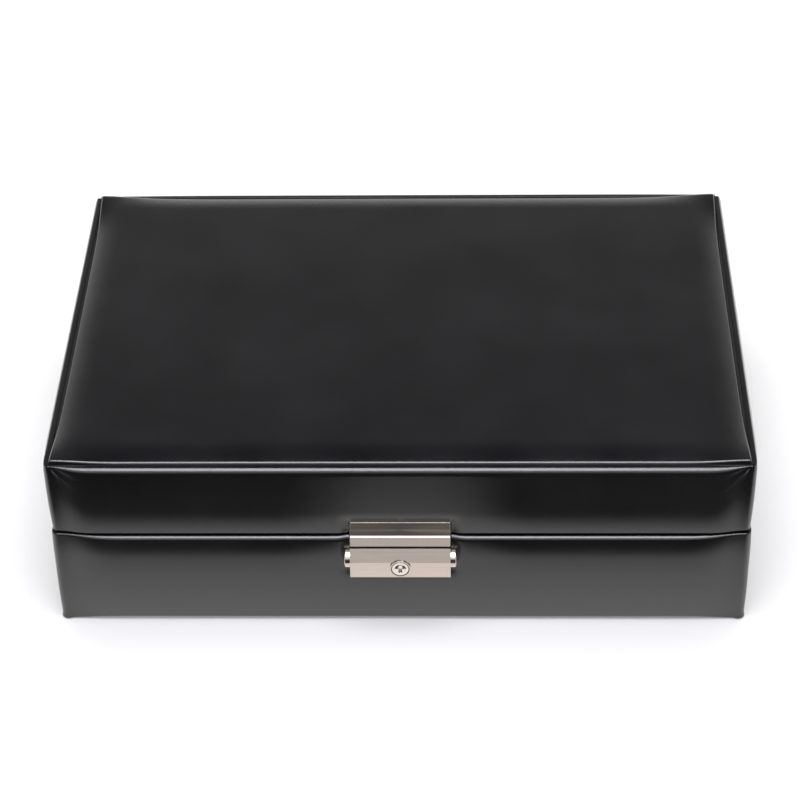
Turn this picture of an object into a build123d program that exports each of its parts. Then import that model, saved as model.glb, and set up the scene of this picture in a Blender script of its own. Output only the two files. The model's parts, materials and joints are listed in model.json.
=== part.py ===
from build123d import *
import os
from math import cos, radians

# Watch box with a padded lid, a drawer behind the padded lower front, and a box lock.
# Millimetres. +X to the right, front at -Y, +Z up. The origin is under the middle of the whole box.

# Overall sizes
width = 320.0  # over the leather at its edges
depth = 218.0  # leather front to leather back
height = 93.5  # to the crown of the top panel
seam_z = 54.6  # middle of the gap between lid and lower case
seam_gap = 0.6
foot_gap = 0.8  # the leather's lower edge stands clear of the table

# Padded leather
pad_t = 1.5  # at its lower edge
pad_head = 2.3  # at the start of the rolled upper edge
pad_bulge = 1.7  # over the lower edge, at mid height
pad_roll = 1.7  # the rolled upper edge, in two facets
turn_w = 2.0  # leather turned in over a lower rim
turn_t = 0.6
rim_w = 3.0  # leather turned in round the lid's top
rim_t = 1.3
rim_front = 0.4  # the same along the front
sheet_t = 1.4  # unpadded leather on the back
spine_inset = 3.4
spine_turn = 2.8
spine_step = 0.4
groove = 1.2  # dark gap beside and behind the top panel
groove_front = 0.4
panel_edge_t = 1.5
crown = 0.9  # the panel's middle over the rim

# Boards
wall_t = 7.0
lid_wall_t = 6.0
front_t = 8.0
base_t = 6.0
top_t = 5.8
deck_t = 3.0
felt_t = 1.0
felt_inset = 4.0
corner_r = 3.5
front_gap = 0.5  # between the drawer front and the case

# Inside of the tray and the lid
lining_t = 1.6
lining_rise = 4.0  # the lining stands up inside the lid
columns = 5
rows = 2
divider_t = 1.6
divider_h = 17.0
lap_gap = 0.05
lid_lining_t = 1.2
lid_lining_gap = 5.5  # bare rim below the lid's lining
cushion_gap_x = 2.4
cushion_gap_y = 6.0
cushion_h = 38.0
cushion_round = 9.0
cushion_edge = 3.0

# Drawer
drawer_space = 22.5  # between base board and deck
drawer_side_t = 6.0
drawer_bottom_t = 3.0
side_gap = 0.6
run_gap = 0.2
head_gap = 1.5
end_gap = 1.5
runner_h = 2.0
runner_w = 8.0
runner_inset = 7.5  # from the tray's side wall
suede_t = 1.0
suede_drop = 1.0
drawer_cells = 3
drawer_divider_t = 4.0
drawer_divider_drop = 3.0

# Hinges
hinge_x = 95.0
leaf_len = 60.0
leaf_w = 6.0
leaf_t = 1.2
knuckle_r = 2.5
knuckle_gap = 0.2
axis_out = 1.5  # pin's distance behind the back
pin_r = 1.25
pin_clear = 0.05
pocket_gap = 0.3
screw_pitch = 40.0
screw_r = 0.9
screw_head_r = 1.8
screw_proud = 0.1  # head over the face that it holds
screw_len = 7.0
screw_facets = 12

# Lock. Depths are measured forwards from the box's front, heights from the table.
lock_w = 46.0
lock_wall = 0.9
lock_depth = 10.3
lock_foot_z = 35.5
lock_fold_z = 44.5
lock_fold_d = 10.0
lock_top_z = 50.0
lock_top_d = 6.7
lock_fit = 0.4  # leather and board stand clear of the metal
hasp_top_z = 61.0
hasp_edge_d = 0.8
hasp_ridge_z = 55.2
hasp_ridge_d = 3.7
hasp_ledge_z = 54.8
hasp_ledge_d = 5.0
hasp_lip_z = 51.0
hasp_lip_t = 1.2
hasp_under_z = 54.2
tongue_w = 22.0
tongue_d = 2.2
tongue_t = 1.4
tongue_z = 42.2
fork_w = 10.0
fork_notch = 1.0
tongue_gap = 0.5
catch_t = 1.0
catch_end_x = 8.0
catch_h = 3.7
catch_shoulder_w = 2.0
catch_shoulder_h = 9.6
button_r = 4.55
button_z = 42.7
button_d = 4.5
button_out = 2.6
button_fit = 0.1
button_round = 0.4
tab_h = 2.2
tab_t = 1.2
tab_drop = 3.7
post_x = 9.8
post_t = 1.2
post_out = 3.7
spring_t = 0.3
spring_w = 1.6
spring_bow = 1.4
plate_t = 1.2
plate_top_z = 41.4
boss_x = 5.0
boss_r = 2.1
boss_out = 3.3
boss_z = 38.8
key_z = 41.0
plug_r = 3.8
plug_fit = 0.05
collar_w = 1.0
collar_out = 0.4
flange_t = 0.8
flange_r = 4.4
flange_gap = 1.0  # behind the case's front wall
cam_t = 0.8
cam_w = 2.6
cam_len = 5.4
cam_gap = 0.4
keyhole_r = 2.6  # domed head of the keyhole
keyhole_w = 1.8
keyhole_len = 2.3
keyhole_deep = 3.0
key_pin_r = 0.8
key_pin_deep = 0.6  # the pin's end below the plug's face
hasp_screw_x = 15.0
hasp_screw_z = 58.2
hasp_screw_len = 7.0

# Planes worked out from those sizes
knuckle_out = axis_out + knuckle_r
lock_out = lock_depth + collar_out
front_y = -depth / 2 + (lock_out - knuckle_out) / 2
back_y = front_y + depth
board_x = width / 2 - pad_t
board_front = front_y + pad_t
board_back = back_y - sheet_t
inner_x = board_x - wall_t
drawer_face_back = board_front + front_t
case_front = drawer_face_back + front_gap
inner_back = board_back - wall_t
rail_back = case_front + wall_t
rim_z = seam_z - seam_gap / 2
lid_z = seam_z + seam_gap / 2
base_z = felt_t + base_t
deck_z = base_z + drawer_space
tray_z = deck_z + deck_t
rim_top_z = height - crown
top_board_z = rim_top_z - rim_t
lid_inner_z = top_board_z - top_t
axis_y = back_y + axis_out
drawer_z = base_z + runner_h + run_gap
drawer_top_z = deck_z - head_gap
drawer_x = inner_x - side_gap
drawer_back = inner_back - end_gap
knuckle_len = (leaf_len - 2 * knuckle_gap) / 3
catch_d = tongue_d + tongue_t + tongue_gap
cam_d = catch_d + catch_t + cam_gap
lock_inner_x = lock_w / 2 - lock_wall
catch_out_x = lock_inner_x - knuckle_gap
front_inner_d = lock_fold_d - lock_wall


def block(x0, x1, y0, y1, z0, z1):
    """Return a box between two opposite corners."""
    middle = Pos((x0 + x1) / 2, (y0 + y1) / 2, (z0 + z1) / 2)
    return middle * Box(x1 - x0, y1 - y0, z1 - z0)


def round_front_corners(board, radius):
    """Round the upright edges at a board's two front corners."""
    front_edges = board.edges().filter_by(Axis.Z).group_by(Axis.Y)[0]
    return fillet(front_edges, radius)


def skin_section(low_z, top_z, turn, thickness):
    """Section of padded leather: local x is outwards from the board, local y is height."""
    reach = pad_t + pad_bulge
    middle_z = (low_z + top_z) / 2
    roll_x = pad_head - pad_roll
    roll_z = top_z - pad_roll
    lean = pad_roll * cos(radians(45))
    under_z = top_z - thickness
    edges = [
        Line((0, low_z), (pad_t, low_z)),
        ThreePointArc((pad_t, low_z), (reach, middle_z), (pad_head, roll_z)),
        Line((pad_head, roll_z), (roll_x + lean, roll_z + lean)),
        Line((roll_x + lean, roll_z + lean), (roll_x, top_z)),
        Line((roll_x, top_z), (-turn, top_z)),
        Line((-turn, top_z), (-turn, under_z)),
        Line((-turn, under_z), (0, under_z)),
        Line((0, under_z), (0, low_z)),
    ]
    return Face(Wire(edges))


def wrapped_skin(end_y, low_z, top_z, turn, thickness):
    """Padded leather led from one side round the front to the other side."""
    path = FilletPolyline(
        (-board_x, end_y),
        (-board_x, board_front),
        (board_x, board_front),
        (board_x, end_y),
        radius=corner_r,
    )
    start = Plane(origin=(-board_x, end_y, 0), x_dir=(-1, 0, 0), z_dir=(0, 1, 0))
    return sweep(start * skin_section(low_z, top_z, turn, thickness), path=path)


def screw_solid(length):
    """A countersunk wood screw in a few facets, head up at the origin, pointing down."""
    neck = screw_head_r - screw_r
    shank = RegularPolygon(screw_r, screw_facets)
    head = loft([RegularPolygon(screw_head_r, screw_facets), Pos(0, 0, -neck) * shank])
    body = Pos(0, 0, -length) * extrude(shank, amount=length - neck)
    return Pos(0, 0, screw_proud) * (head + body)


def hinge_screw_places(direction):
    """Places of the screws along one leaf: direction 1 points down, -1 up."""
    face_z = rim_z if direction > 0 else lid_z
    turn = 0 if direction > 0 else 180
    along = board_back - leaf_w / 2
    places = []
    for side in (-1, 1):
        for step in (-0.5, 0.5):
            x = side * hinge_x + step * screw_pitch
            places.append(Pos(x, along, face_z) * Rot(turn, 0, 0))
    return places


def hinge_screws(direction):
    """All the screws of the case leaves or of the lid leaves."""
    return [place * screw_solid(screw_len) for place in hinge_screw_places(direction)]


def leaf_pockets(z0, z1):
    """Space that both hinges need in a board's rim."""
    pockets = []
    for side in (-1, 1):
        half = leaf_len / 2 + pocket_gap
        middle = side * hinge_x
        front = board_back - leaf_w - pocket_gap
        pockets.append(block(middle - half, middle + half, front, board_back + 1, z0, z1))
    return pockets


def knuckle_pockets():
    """Space that both hinge barrels need in the leather of the back."""
    pockets = []
    reach = knuckle_r + pocket_gap
    for side in (-1, 1):
        half = leaf_len / 2 + pocket_gap
        middle = side * hinge_x
        pockets.append(
            block(middle - half, middle + half, board_back - 1, axis_y, seam_z - reach, seam_z + reach)
        )
    return pockets


def hasp_screw_places():
    """Places of the two screws that hold the hasp from inside the lid."""
    head_y = board_front + lid_wall_t
    return [Pos(x, head_y, hasp_screw_z) * Rot(-90, 0, 0) for x in (-hasp_screw_x, hasp_screw_x)]


def lock_screw_places():
    """Places of the two screws that hold the lock from inside the drawer front."""
    return [Pos(x, drawer_face_back, boss_z) * Rot(-90, 0, 0) for x in (-boss_x, boss_x)]


def lock_prism(points, half_width):
    """Extrude a profile of (depth, height) points over the lock's width."""
    outline = [(front_y - d, z) for d, z in points]
    face = Plane.YZ * Polygon(*outline, align=None)
    return extrude(face, amount=half_width, both=True)


def lock_plate(points, d0, d1):
    """Extrude an outline of (x, height) points between two depths of the lock."""
    face = Plane.XZ * Polygon(*points, align=None)
    return Pos(0, front_y - d0, 0) * extrude(face, amount=d1 - d0)


def lock_rod(x, z, radius, d0, d1):
    """A round rod along the lock's depth."""
    return Pos(x, front_y - (d0 + d1) / 2, z) * Rot(90, 0, 0) * Cylinder(radius, d1 - d0)


def side_rod(x0, x1, radius):
    """A round rod along the lock's width, on the button's centre line."""
    return Pos((x0 + x1) / 2, front_y - button_d, button_z) * Rot(0, 90, 0) * Cylinder(radius, x1 - x0)


# Lower case
def make_case():
    """Boards, leather, lining and hinge leaves that stay on the table."""
    parts = {}
    parts["underside_felt"] = block(
        -board_x + felt_inset,
        board_x - felt_inset,
        case_front + felt_inset,
        board_back - felt_inset,
        0,
        felt_t,
    )
    parts["base_board"] = block(-board_x, board_x, case_front, board_back, felt_t, base_z)
    side_top = rim_z - turn_t
    for name, side in (("left", -1), ("right", 1)):
        x0, x1 = sorted((side * inner_x, side * board_x))
        parts[name + "_side_wall"] = block(x0, x1, case_front, board_back, base_z, side_top)
        start = Plane(origin=(side * board_x, case_front, 0), x_dir=(side, 0, 0), z_dir=(0, -side, 0))
        section = start * skin_section(foot_gap, rim_z, turn_w, turn_t)
        run = back_y - case_front
        parts[name + "_side_leather"] = extrude(section, amount=run, dir=(0, 1, 0))
    back = block(-inner_x, inner_x, inner_back, board_back, base_z, rim_z)
    for pocket in leaf_pockets(rim_z - leaf_t, rim_z + 1):
        back -= pocket
    back_leather = block(-board_x, board_x, board_back, back_y, foot_gap, side_top)
    for pocket in knuckle_pockets():
        back_leather -= pocket
    parts["back_wall"] = back
    parts["back_leather"] = back_leather
    parts["front_rail"] = block(-inner_x, inner_x, case_front, rail_back, deck_z, rim_z - turn_t)
    parts["tray_deck"] = block(-inner_x, inner_x, rail_back, inner_back, deck_z, tray_z)
    runners = []
    for side in (-1, 1):
        x0, x1 = sorted((side * (inner_x - runner_inset - runner_w), side * (inner_x - runner_inset)))
        runners.append(block(x0, x1, case_front, inner_back, base_z, base_z + runner_h))
    parts["drawer_runners"] = runners
    return parts


def make_tray():
    """Lining boards, dividers and cushions that hold the watches."""
    parts = {}
    top = rim_z + lining_rise
    for name, side in (("left", -1), ("right", 1)):
        x0, x1 = sorted((side * inner_x, side * (inner_x - lining_t)))
        parts[name + "_lining"] = block(x0, x1, rail_back, inner_back, tray_z, top)
    in_x = inner_x - lining_t
    y0 = rail_back + lining_t
    y1 = inner_back - lining_t
    for name, a, b in (("front", rail_back, y0), ("rear", y1, inner_back)):
        parts[name + "_lining"] = block(-in_x, in_x, a, b, tray_z, top)

    pitch_x = 2 * in_x / columns
    pitch_y = (y1 - y0) / rows
    half_lap = tray_z + divider_h / 2
    divider_top = tray_z + divider_h
    cut = divider_t / 2 + lap_gap
    column_x = [-in_x + pitch_x * k for k in range(1, columns)]
    row_y = [y0 + pitch_y * k for k in range(1, rows)]
    long_dividers = []
    for y in row_y:
        long_divider = block(-in_x, in_x, y - divider_t / 2, y + divider_t / 2, tray_z, divider_top)
        for x in column_x:
            long_divider -= block(x - cut, x + cut, y - divider_t, y + divider_t, half_lap, divider_top + 1)
        long_dividers.append(long_divider)
    cross_dividers = []
    for x in column_x:
        divider = block(x - divider_t / 2, x + divider_t / 2, y0, y1, tray_z, divider_top)
        for y in row_y:
            divider -= block(x - divider_t, x + divider_t, y - cut, y + cut, tray_z - 1, half_lap)
        cross_dividers.append(divider)
    parts["long_tray_divider"] = long_dividers
    parts["cross_tray_dividers"] = cross_dividers

    cushion_x = pitch_x - divider_t - 2 * cushion_gap_x
    cushion_y = pitch_y - divider_t - 2 * cushion_gap_y
    count = 0
    for row in range(rows):
        for column in range(columns):
            count += 1
            place = Pos(
                -in_x + pitch_x * (column + 0.5),
                y0 + pitch_y * (row + 0.5),
                tray_z + cushion_h / 2,
            )
            pillow = Box(cushion_x, cushion_y, cushion_h)
            pillow = chamfer(pillow.edges().filter_by(Axis.X), cushion_round)
            ends = pillow.faces().filter_by(Axis.X).edges()
            parts["cushion_%02d" % count] = place * chamfer(ends, cushion_edge)
    return parts


def make_hinges():
    """Two butt hinges at the back: leaves let into the rims, with a pin in each barrel."""
    parts = {"case_hinge_leaves": [], "lid_hinge_leaves": [], "hinge_pins": []}
    half = leaf_len / 2
    front = board_back - leaf_w
    for side in (-1, 1):
        middle = side * hinge_x
        shaft = Rot(0, 90, 0)
        inner_end = knuckle_len / 2
        barrels = {
            "case": [(-half, -inner_end - knuckle_gap), (inner_end + knuckle_gap, half)],
            "lid": [(-inner_end, inner_end)],
        }
        for leaf_name, z0, direction in (("case", rim_z - leaf_t, 1), ("lid", lid_z, -1)):
            clear_y = axis_y - knuckle_r - pocket_gap
            leaf = block(middle - half, middle + half, front, clear_y, z0, z0 + leaf_t)
            bore_r = pin_r if direction > 0 else pin_r + pin_clear
            for a, b in barrels[leaf_name]:
                at = Pos(middle + (a + b) / 2, axis_y, seam_z) * shaft
                leaf += block(middle + a, middle + b, clear_y, axis_y, z0, z0 + leaf_t)
                leaf += at * Cylinder(knuckle_r, b - a)
                leaf -= at * Cylinder(bore_r, b - a)
            parts[leaf_name + "_hinge_leaves"].append(leaf)
        pin = Pos(middle, axis_y, seam_z) * shaft * Cylinder(pin_r, leaf_len)
        parts["hinge_pins"].append(pin)
    parts["case_hinge_screws"] = hinge_screws(1)
    parts["lid_hinge_screws"] = hinge_screws(-1)
    return parts


# Lid
def make_lid():
    """Boards, padded leather, lining and hasp that open together."""
    parts = {}
    lid_in_x = board_x - lid_wall_t
    lid_in_front = board_front + lid_wall_t
    lid_in_back = board_back - lid_wall_t
    hasp_half = lock_w / 2 + lock_fit
    front = block(-board_x, board_x, board_front, lid_in_front, lid_z, lid_inner_z)
    parts["lid_front_wall"] = round_front_corners(front, corner_r)
    for name, side in (("left", -1), ("right", 1)):
        x0, x1 = sorted((side * lid_in_x, side * board_x))
        parts["lid_" + name + "_wall"] = block(x0, x1, lid_in_front, board_back, lid_z, lid_inner_z)
    back = block(-lid_in_x, lid_in_x, lid_in_back, board_back, lid_z, lid_inner_z)
    for pocket in leaf_pockets(lid_z - 1, lid_z + leaf_t):
        back -= pocket
    parts["lid_back_wall"] = back
    top = block(-board_x, board_x, board_front, board_back, lid_inner_z, top_board_z)
    parts["lid_top_board"] = round_front_corners(top, corner_r)

    band = wrapped_skin(back_y, lid_z, rim_top_z, rim_w, rim_t)
    band -= block(
        -hasp_half, hasp_half, front_y - 10, board_front, lid_z - 1, hasp_top_z + lock_fit
    )
    spine_x = board_x - spine_inset
    band -= block(-spine_x, spine_x, back_y - spine_turn, back_y + 1, lid_z, height + 1)
    band -= block(-board_x, board_x, board_back, back_y + 1, lid_z - 1, height + 1)
    rim_x = board_x - rim_w
    band -= block(-rim_x, rim_x, board_front + rim_front, board_front + rim_w + 1, top_board_z, height)
    parts["lid_leather_band"] = band
    spine_top = rim_top_z + spine_step
    spine = block(-spine_x, spine_x, board_back, back_y, lid_z, spine_top)
    spine += block(-spine_x, spine_x, back_y - spine_turn, board_back, top_board_z, spine_top)
    outer_top = spine.edges().filter_by(Axis.X).sort_by(lambda e: e.center().Y + e.center().Z)[-1]
    spine = fillet(outer_top, sheet_t * 0.7)
    for pocket in knuckle_pockets():
        spine -= pocket
    parts["lid_leather_spine"] = spine

    panel_x = rim_x - groove
    panel_front = board_front + rim_front + groove_front
    panel_back = back_y - spine_turn - groove
    panel = block(-panel_x, panel_x, panel_front, panel_back, top_board_z, height)
    panel = fillet(panel.faces().sort_by(Axis.Z)[-1].edges(), panel_edge_t)
    parts["top_leather_panel"] = panel

    low = lid_z + lid_lining_gap
    lining = block(-lid_in_x, lid_in_x, lid_in_front, lid_in_back, low, lid_inner_z)
    lining -= block(
        -lid_in_x + lid_lining_t,
        lid_in_x - lid_lining_t,
        lid_in_front + lid_lining_t,
        lid_in_back - lid_lining_t,
        low - 1,
        lid_inner_z - lid_lining_t,
    )
    parts["lid_lining"] = lining
    parts.update(make_hasp())
    return parts


def make_hasp():
    """The folded hasp, its forked tongue and the screws that hold it."""
    parts = {}
    seat = -pad_t
    lip_back = lock_top_d - hasp_lip_t
    under_back = hasp_ledge_d - hasp_lip_t
    hasp = lock_prism(
        [
            (seat, hasp_top_z),
            (hasp_edge_d, hasp_top_z),
            (hasp_ridge_d, hasp_ridge_z),
            (hasp_ledge_d, hasp_ledge_z),
            (lock_top_d, hasp_lip_z),
            (lip_back, hasp_lip_z),
            (under_back, hasp_under_z),
            (seat, hasp_under_z),
        ],
        lock_w / 2,
    )
    parts["hasp_plate"] = hasp
    half = tongue_w / 2
    slot = fork_w / 2
    tongue = lock_plate(
        [(-half, tongue_z), (half, tongue_z), (half, hasp_under_z), (-half, hasp_under_z)],
        tongue_d,
        tongue_d + tongue_t,
    )
    notch_z = tongue_z + (hasp_under_z - tongue_z) / 2
    tongue -= block(-slot, slot, front_y - lock_depth, front_y, tongue_z - 1, notch_z)
    catch_mid = button_z + catch_h / 4
    wide = slot + fork_notch
    tongue -= block(
        -wide, wide, front_y - lock_depth, front_y, catch_mid, catch_mid + catch_h / 2
    )
    parts["hasp_tongue"] = tongue
    parts["hasp_screws"] = [place * screw_solid(hasp_screw_len) for place in hasp_screw_places()]
    return parts


# Drawer
def make_drawer():
    """Padded front, box, suede lining and dividers that slide out together."""
    parts = {}
    face = block(
        -board_x, board_x, board_front, drawer_face_back, foot_gap, rim_z - turn_t
    )
    face = round_front_corners(face, corner_r)
    wide = lock_w / 2 + lock_fit + pocket_gap
    narrow = tongue_w / 2 + 2 * lock_fit
    face -= block(-wide, wide, front_y, drawer_face_back + 1, lock_top_z, rim_z)
    slot_z = tongue_z - 2 * pocket_gap
    face -= block(-narrow, narrow, front_y, drawer_face_back + 1, slot_z, rim_z)
    parts["drawer_front_board"] = face

    leather = wrapped_skin(drawer_face_back, foot_gap, rim_z, turn_w, turn_t)
    leather -= block(
        -wide + pocket_gap,
        wide - pocket_gap,
        front_y - lock_depth,
        drawer_face_back,
        lock_foot_z - lock_fit,
        rim_z + 1,
    )
    button_x = lock_w / 2 + button_out + lock_fit
    button_h = button_r + lock_fit
    button_y = front_y - button_d + button_h
    leather -= block(
        -button_x, button_x, front_y - lock_depth, button_y, button_z - button_h, button_z + button_h
    )
    parts["drawer_front_leather"] = leather

    side_in = drawer_x - drawer_side_t
    for name, side in (("left", -1), ("right", 1)):
        x0, x1 = sorted((side * side_in, side * drawer_x))
        parts["drawer_" + name + "_side"] = block(x0, x1, drawer_face_back, drawer_back, drawer_z, drawer_top_z)
    back_in = drawer_back - drawer_side_t
    parts["drawer_back"] = block(-side_in, side_in, back_in, drawer_back, drawer_z, drawer_top_z)
    floor_z = drawer_z + drawer_bottom_t
    parts["drawer_bottom"] = block(-side_in, side_in, drawer_face_back, back_in, drawer_z, floor_z)
    suede_top = drawer_top_z - suede_drop
    suede = block(-side_in, side_in, drawer_face_back, back_in, floor_z, suede_top)
    suede_in = side_in - suede_t
    y0 = drawer_face_back + suede_t
    y1 = back_in - suede_t
    suede -= block(-suede_in, suede_in, y0, y1, floor_z + suede_t, suede_top + 1)
    parts["drawer_suede"] = suede
    pitch = 2 * suede_in / drawer_cells
    dividers = []
    for k in range(1, drawer_cells):
        x = -suede_in + pitch * k
        half = drawer_divider_t / 2
        low = floor_z + suede_t
        dividers.append(block(x - half, x + half, y0, y1, low, drawer_top_z - drawer_divider_drop))
    parts["drawer_dividers"] = dividers
    parts.update(make_lock())
    return parts


def make_lock():
    """Lock case with its back plate, side buttons, springs and key plug."""
    parts = {}
    seat = -pad_t
    bend = lock_wall * 0.7
    outside = [
        (seat, lock_foot_z),
        (lock_depth, lock_foot_z),
        (lock_fold_d, lock_fold_z),
        (lock_top_d, lock_top_z),
        (seat, lock_top_z),
    ]
    inside = [
        (seat - 1, lock_foot_z + lock_wall),
        (lock_depth - lock_wall, lock_foot_z + lock_wall),
        (lock_fold_d - lock_wall, lock_fold_z - bend * 0.5),
        (lock_top_d - bend, lock_top_z - lock_wall),
        (seat - 1, lock_top_z - lock_wall),
    ]
    shell = lock_prism(outside, lock_w / 2) - lock_prism(inside, lock_inner_x)
    collar_r = plug_r + collar_w
    shell += lock_rod(0, key_z, collar_r, front_inner_d, lock_depth + collar_out)
    shell -= lock_rod(0, key_z, plug_r + plug_fit, 0, lock_depth + collar_out + 1)
    for side in (-1, 1):
        x0, x1 = sorted((side * lock_inner_x, side * lock_w))
        shell -= side_rod(x0, x1, button_r + button_fit)
    slot_half = tongue_w / 2 + lock_fit * 2
    slot_front = front_y - catch_d - pocket_gap
    shell -= block(-slot_half, slot_half, slot_front, board_front + 1, lock_top_z - 2 * lock_wall, lock_top_z + 1)
    parts["lock_case"] = shell

    low = lock_foot_z + lock_wall
    plate_x = lock_inner_x
    plate = block(-plate_x, plate_x, board_front - plate_t, board_front, low, plate_top_z)
    plate_front = plate_t - pad_t
    spring_z = button_z - tab_drop
    for side in (-1, 1):
        plate += lock_rod(side * boss_x, boss_z, boss_r, plate_front, boss_out - pad_t + plate_t)
        x0, x1 = sorted((side * post_x, side * (post_x + post_t)))
        plate += block(
            x0, x1, front_y - post_out, board_front - plate_t, spring_z - tab_h / 2, spring_z + tab_h / 2
        )
    parts["lock_back_plate"] = plate
    parts["lock_screws"] = [place * screw_solid(front_t + boss_out) for place in lock_screw_places()]
    parts["right_button"] = make_button()
    parts["left_button"] = mirror(parts["right_button"], about=Plane.YZ)
    parts["right_button_spring"] = make_spring()
    parts["left_button_spring"] = mirror(parts["right_button_spring"], about=Plane.YZ)
    parts["key_plug"] = make_key_plug()
    return parts


def make_button():
    """The right button with the catch slide that it pushes."""
    shoulder_in = catch_out_x - catch_shoulder_w
    low = button_z - catch_shoulder_h / 2
    high = button_z + catch_shoulder_h / 2
    arm_low = button_z - catch_h / 4
    arm_high = arm_low + catch_h
    barb = catch_h / 4
    slide = lock_plate(
        [
            (catch_out_x, low),
            (catch_out_x, high),
            (shoulder_in, high),
            (shoulder_in, arm_high),
            (catch_end_x + 3 * barb, arm_high),
            (catch_end_x + 3 * barb, arm_high + barb),
            (catch_end_x + barb, arm_high + barb),
            (catch_end_x, arm_high),
            (catch_end_x, arm_low),
            (shoulder_in, arm_low),
            (shoulder_in, low),
        ],
        catch_d,
        catch_d + catch_t,
    )
    spring_z = button_z - tab_drop
    tab_x = shoulder_in
    tab_back = front_y - tongue_d + tab_t
    slide += block(
        tab_x, tab_x + tab_t, front_y - catch_d, tab_back, spring_z - tab_h / 2, spring_z + tab_h / 2
    )
    out_x = lock_w / 2 + button_out
    cap = side_rod(catch_out_x, out_x, button_r)
    rim = cap.faces().sort_by(Axis.X)[-1].edges()
    return slide + chamfer(rim, button_round)


def make_spring():
    """The right button's bowed leaf spring, from the post on the back plate to the slide's tab."""
    start_x = post_x + post_t
    end_x = catch_out_x - catch_shoulder_w
    middle_x = (start_x + end_x) / 2
    low = button_z - tab_drop - spring_bow / 2
    high = low + spring_bow
    edges = [
        ThreePointArc((start_x, low), (middle_x, high), (end_x, low)),
        Line((end_x, low), (end_x - spring_t, low)),
        ThreePointArc((end_x - spring_t, low), (middle_x, high - spring_t), (start_x + spring_t, low)),
        Line((start_x + spring_t, low), (start_x, low)),
    ]
    strip = Plane.XZ * Face(Wire(edges))
    return Pos(0, front_y - tongue_d + spring_w / 2, 0) * extrude(strip, amount=spring_w)


def make_key_plug():
    """The key plug with its keyhole, retaining flange and cam."""
    face_d = lock_depth + collar_out * 0.6
    plug = lock_rod(0, key_z, plug_r, cam_d, face_d)
    flange_d = front_inner_d - flange_gap
    plug += lock_rod(0, key_z, flange_r, flange_d - flange_t, flange_d)
    cam_half = cam_w / 2
    plug += lock_plate(
        [
            (-cam_half, key_z - cam_half),
            (cam_half, key_z - cam_half),
            (cam_half, key_z + cam_len - cam_half),
            (0, key_z + cam_len),
            (-cam_half, key_z + cam_len - cam_half),
        ],
        cam_d,
        cam_d + cam_t,
    )
    face_y = front_y - face_d
    dome = lock_rod(0, key_z, keyhole_r, face_d - keyhole_deep, face_d + 1)
    dome &= block(-keyhole_r, keyhole_r, face_y - 1, face_y + keyhole_deep, key_z, key_z + keyhole_r)
    stem = block(
        -keyhole_w / 2, keyhole_w / 2, face_y - 1, face_y + keyhole_deep, key_z - keyhole_len, key_z + key_pin_r
    )
    pin = lock_rod(0, key_z + key_pin_r, key_pin_r, face_d - keyhole_deep, face_d - key_pin_deep)
    return plug - (dome + stem - pin)


def write_parts(parts):
    """Write one STEP file for each named node."""
    os.makedirs("parts", exist_ok=True)
    for name, shape in parts.items():
        solids = shape if isinstance(shape, list) else [shape]
        pieces = [solid for item in solids for solid in item.solids()]
        whole = pieces[0] if len(pieces) == 1 else Compound(children=pieces)
        whole.label = name
        export_step(whole, "parts/%s.step" % name)


all_parts = {}
all_parts.update(make_case())
all_parts.update(make_tray())
all_parts.update(make_hinges())
all_parts.update(make_lid())
all_parts.update(make_drawer())
write_parts(all_parts)
print(len(all_parts), "nodes")
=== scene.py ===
"""Watch box with a padded lid, a drawer behind its padded lower front, and a satin box lock."""

from __future__ import annotations

import json
import logging
import math
from dataclasses import dataclass
from enum import Enum
from typing import Any, Callable, Sequence

import bmesh
import bpy
import numpy as np
from mathutils import Matrix, Vector


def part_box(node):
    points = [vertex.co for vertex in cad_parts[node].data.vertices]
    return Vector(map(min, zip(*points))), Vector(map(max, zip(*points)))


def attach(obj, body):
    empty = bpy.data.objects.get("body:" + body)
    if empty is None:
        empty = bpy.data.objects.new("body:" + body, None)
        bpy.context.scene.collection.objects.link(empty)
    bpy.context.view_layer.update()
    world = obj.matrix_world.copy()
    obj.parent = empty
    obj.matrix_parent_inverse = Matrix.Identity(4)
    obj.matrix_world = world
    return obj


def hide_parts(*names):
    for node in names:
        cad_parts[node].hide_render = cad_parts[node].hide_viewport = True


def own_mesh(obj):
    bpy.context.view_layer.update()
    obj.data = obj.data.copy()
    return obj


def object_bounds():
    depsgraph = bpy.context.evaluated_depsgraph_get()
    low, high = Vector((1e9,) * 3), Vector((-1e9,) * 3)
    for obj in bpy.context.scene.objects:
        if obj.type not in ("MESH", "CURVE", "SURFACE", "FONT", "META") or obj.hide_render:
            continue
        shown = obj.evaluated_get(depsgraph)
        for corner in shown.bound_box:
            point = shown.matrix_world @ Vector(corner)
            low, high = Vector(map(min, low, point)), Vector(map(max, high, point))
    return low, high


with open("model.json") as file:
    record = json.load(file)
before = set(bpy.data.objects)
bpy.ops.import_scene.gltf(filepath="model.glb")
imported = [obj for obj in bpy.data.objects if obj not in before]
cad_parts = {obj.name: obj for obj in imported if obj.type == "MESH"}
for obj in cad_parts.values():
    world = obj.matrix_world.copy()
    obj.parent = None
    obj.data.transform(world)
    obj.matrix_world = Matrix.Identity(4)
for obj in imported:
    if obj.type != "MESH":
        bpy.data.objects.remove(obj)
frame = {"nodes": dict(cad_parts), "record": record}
CAD_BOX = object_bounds()
MM = 0.001
LOG = logging.getLogger("watch_box")


# Shader maths
def operator(operation: str, turned: bool = False) -> Callable[["Signal", Any], "Signal"]:
    """A Python operator of Signal as one Math node, with its two values turned round if asked."""

    def apply(signal: "Signal", other: Any) -> "Signal":
        """Join the signal and the other value."""
        return signal.math(operation, *((other, signal) if turned else (signal, other)))

    return apply


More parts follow.
